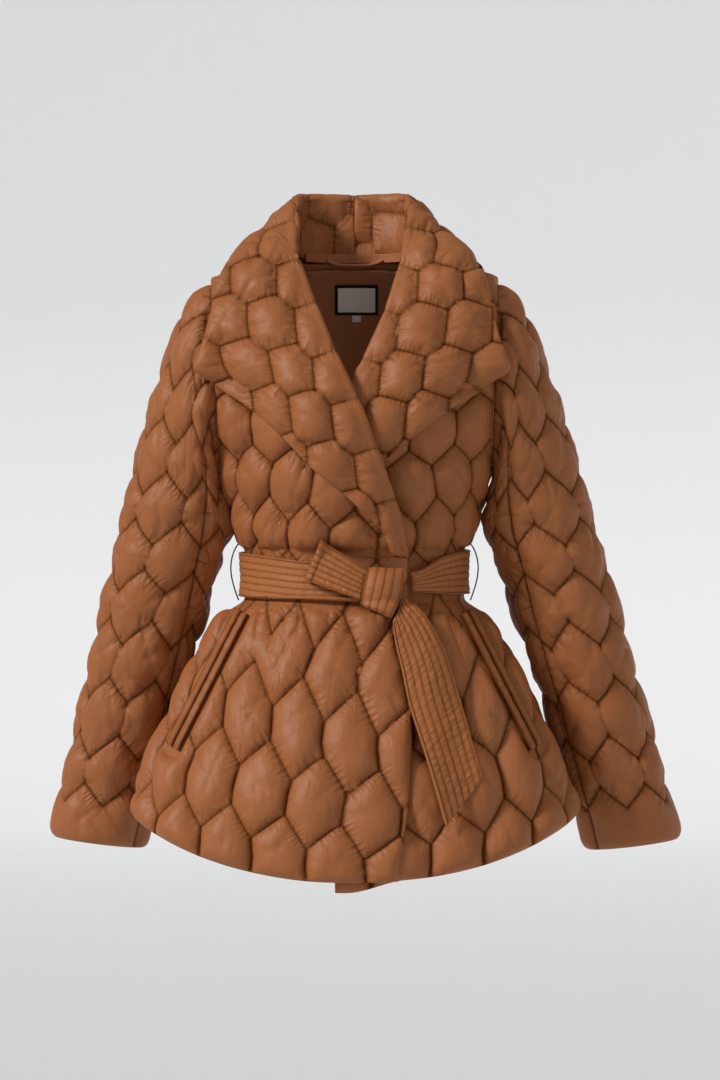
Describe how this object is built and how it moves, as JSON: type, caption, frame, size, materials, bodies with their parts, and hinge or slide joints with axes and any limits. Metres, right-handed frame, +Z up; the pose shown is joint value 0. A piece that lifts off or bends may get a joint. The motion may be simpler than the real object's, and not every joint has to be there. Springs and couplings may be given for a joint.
{
  "type": "down coat",
  "caption": "Belted wrap down coat with wide turned-back lapels, long sleeves and a flared skirt, filled out and hollow as if worn.",
  "frame": {"origin": "middle of the neck opening at the height of the shoulder seams, where the wearer's shoulders hold the coat up", "axes": "+Z up, +X towards the wearer's left, -Y towards the front"},
  "size_m": [0.7128, 0.3139, 0.7743],
  "materials": {
    "shell": "plain woven nylon with a soft satin sheen, quilted over down",
    "belt_cloth": "the same nylon, flat and top-stitched in rows",
    "lining": "plain smooth lining",
    "label_border": "black woven",
    "label_face": "pale woven, bare",
    "thread": "dark twisted thread"
  },
  "bodies": {
    "root": {"back": "shell", "front_right": "shell", "front_left": "shell", "sleeve_right_upper": "shell", "sleeve_right_under": "shell", "sleeve_left_upper": "shell", "sleeve_left_under": "shell", "collar_right": "shell", "collar_left": "shell", "back_facing": "lining", "neck_tape": "belt_cloth", "hanger_loop": "belt_cloth", "label": "label_border", "label_face": "label_face", "size_tab": "label_face", "belt_round": "belt_cloth", "belt_knot": "belt_cloth", "belt_end_short": "belt_cloth", "belt_end_long": "belt_cloth", "belt_loop_right": "thread", "belt_loop_left": "thread", "welt_right_front": "shell", "welt_right_side": "shell", "welt_left_front": "shell", "welt_left_side": "shell"}
  },
  "joints": []
}
